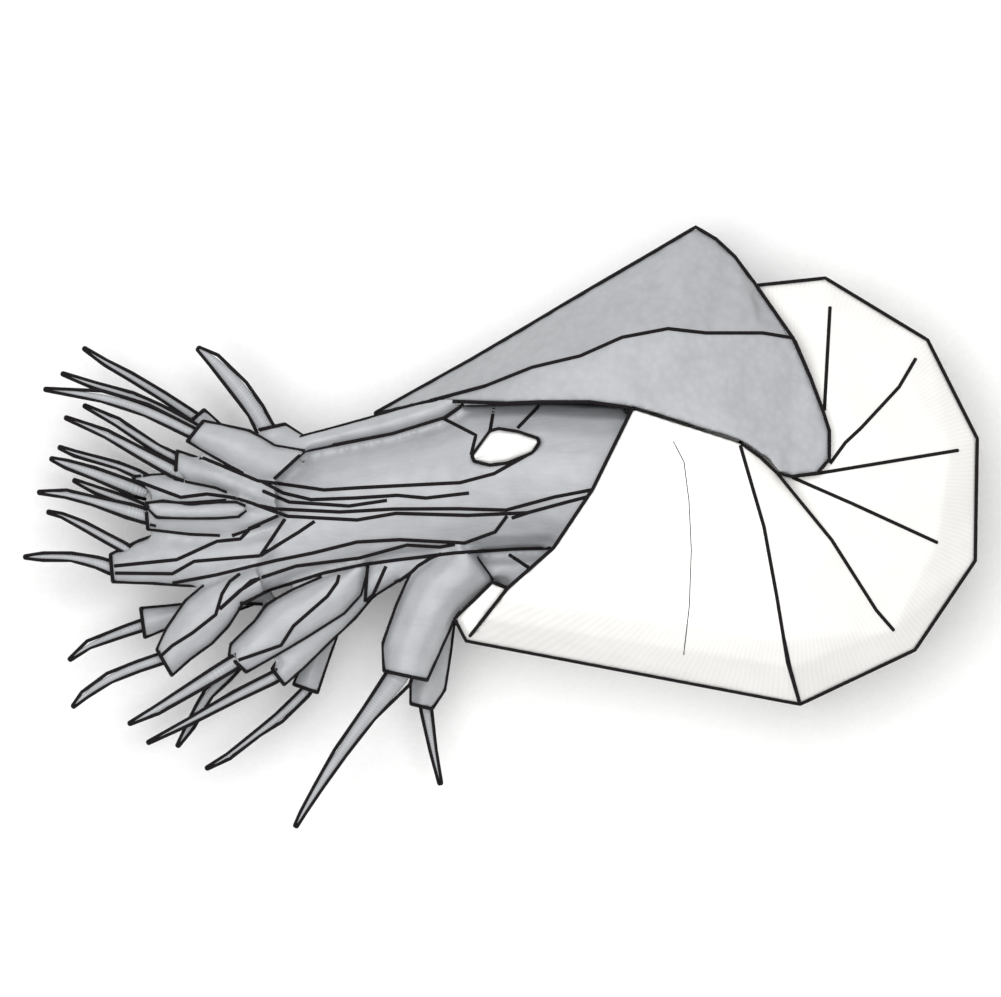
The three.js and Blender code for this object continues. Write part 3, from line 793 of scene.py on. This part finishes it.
class NAUTILUS_OT_lines(bpy.types.Operator):
    """Lay the ink lines along the outlines and folds"""
    bl_idname = "nautilus.lines"
    bl_label = "Lines"

    def execute(self, context):
        settings = context.scene.nautilus
        black = ink(settings)
        skin = tree_of([piece for piece in bpy.data.objects if piece.get("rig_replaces")])
        cad = {name: tree_of([node]) for name, node in frame["nodes"].items()}
        sheaths = ["sheath_" + name for name in SHEATH_ORDER] + ["funnel"]
        cirri = nodes_named("cirrus")
        eyes = nodes_named("eye")
        # Each group's name, its nodes, the pieces that cut them, those that cover them, and its slot.
        groups = (
            ("shell", ["shell"], [], ["head", "hood"], "shell"),
            ("hood", ["hood"], ["shell"], [], "hood"),
            ("eye", eyes, ["hood"], [], "eye"),
            ("cirrus", cirri, [], [], "skin"),
            ("sheath", sheaths, ["shell", "hood", "head", *eyes, *cirri], [], "skin"),
        )
        for group, names, cutters, covers, slot in groups:
            cutting = [cad[name] for name in cutters]
            covering = [cad[name] for name in covers]
            routes = []
            for name in names:
                bm = merged_copy(name)
                edges = outline_edges(bm, rooted=group in ("cirrus", "sheath"))
                shown = uncovered(edges, cad[name], cutting, covering)
                for run in chains(shown):
                    routes.extend(raised(spaced(run, OUTLINE_STEP), skin))
                bm.free()
                cutting.append(cad[name])
            add_lines(group + "_outline", routes, settings.line_width, black)
        folds = (
            ("hood_fold", (HOOD_FOLD, HOOD_SEAM), settings.line_width, "hood"),
            ("growth_lines", GROWTH_LINES, settings.line_width, "shell"),
            ("head_folds", EYE_FOLDS + ARM_FOLDS + CREASES + SHEATH_FOLDS, settings.line_width, "skin"),
            ("muscle_scar", (MUSCLE_SCAR,), settings.hairline_width, "shell"),
        )
        for name, routes, width, slot in folds:
            laid = []
            for route in routes:
                points = spaced(route_points(route), FOLD_STEP)
                for side in (1, -1):
                    laid.extend(laid_on(points, skin, side, width / 3))
            add_lines(name, laid, width, black)
        return {"FINISHED"}


class NAUTILUS_OT_stage(bpy.types.Operator):
    """Set the floor, the lights and the camera"""
    bl_idname = "nautilus.stage"
    bl_label = "Stage"

    def execute(self, context):
        scene = context.scene
        scene.view_settings.view_transform = "Standard"
        bm = bmesh.new()
        bmesh.ops.create_grid(bm, x_segments=2, y_segments=2, size=FLOOR_HALF)
        mesh = bpy.data.meshes.new("floor")
        bm.to_mesh(mesh)
        bm.free()
        mesh.materials.append(rag_paper(scene.nautilus))
        floor = bpy.data.objects.new("floor", mesh)
        scene.collection.objects.link(floor)
        world = bpy.data.worlds.new("studio")
        world.use_nodes = True
        background = world.node_tree.nodes["Background"]
        background.inputs["Color"].default_value = (1, 1, 1, 1)
        background.inputs["Strength"].default_value = WORLD_LIGHT
        scene.world = world
        light = bpy.data.lights.new("overhead", "AREA")
        light.shape = "DISK"
        light.size = LAMP_WIDTH
        light.energy = LAMP_POWER
        lamp = bpy.data.objects.new("overhead", light)
        lamp.location = LAMP_PLACE
        lamp.rotation_euler = Vector((0, 0, 1)).rotation_difference(LAMP_PLACE.normalized()).to_euler()
        scene.collection.objects.link(lamp)
        lens = bpy.data.cameras.new("camera")
        lens.type = "ORTHO"
        lens.ortho_scale = VIEW_WIDTH
        camera = bpy.data.objects.new("camera", lens)
        camera.location = UMBILICUS + VIEW_CENTRE + Vector((0, 0, CAMERA_HEIGHT))
        scene.collection.objects.link(camera)
        scene.camera = camera
        return {"FINISHED"}


OPERATORS = (
    NAUTILUS_OT_shell, NAUTILUS_OT_hood, NAUTILUS_OT_flesh, NAUTILUS_OT_cirri, NAUTILUS_OT_eyes,
    NAUTILUS_OT_lines, NAUTILUS_OT_stage,
)


class NAUTILUS_PT_panel(bpy.types.Panel):
    """Lists the pieces of the nautilus"""
    bl_idname = "NAUTILUS_PT_panel"
    bl_label = "Nautilus"
    bl_space_type = "VIEW_3D"
    bl_region_type = "UI"
    bl_category = "Nautilus"

    def draw(self, context):
        for name in NautilusSettings.__annotations__:
            self.layout.prop(context.scene.nautilus, name)
        for operator in OPERATORS:
            self.layout.operator(operator.bl_idname)


CLASSES = (NautilusSettings, *OPERATORS, NAUTILUS_PT_panel)


def register():
    for each in CLASSES:
        bpy.utils.register_class(each)
    bpy.types.Scene.nautilus = bpy.props.PointerProperty(type=NautilusSettings)


def unregister():
    del bpy.types.Scene.nautilus
    for each in reversed(CLASSES):
        bpy.utils.unregister_class(each)


def main():
    register()
    for operator in OPERATORS:
        group, name = operator.bl_idname.split(".")
        getattr(getattr(bpy.ops, group), name)()


if __name__ == "__main__":
    main()
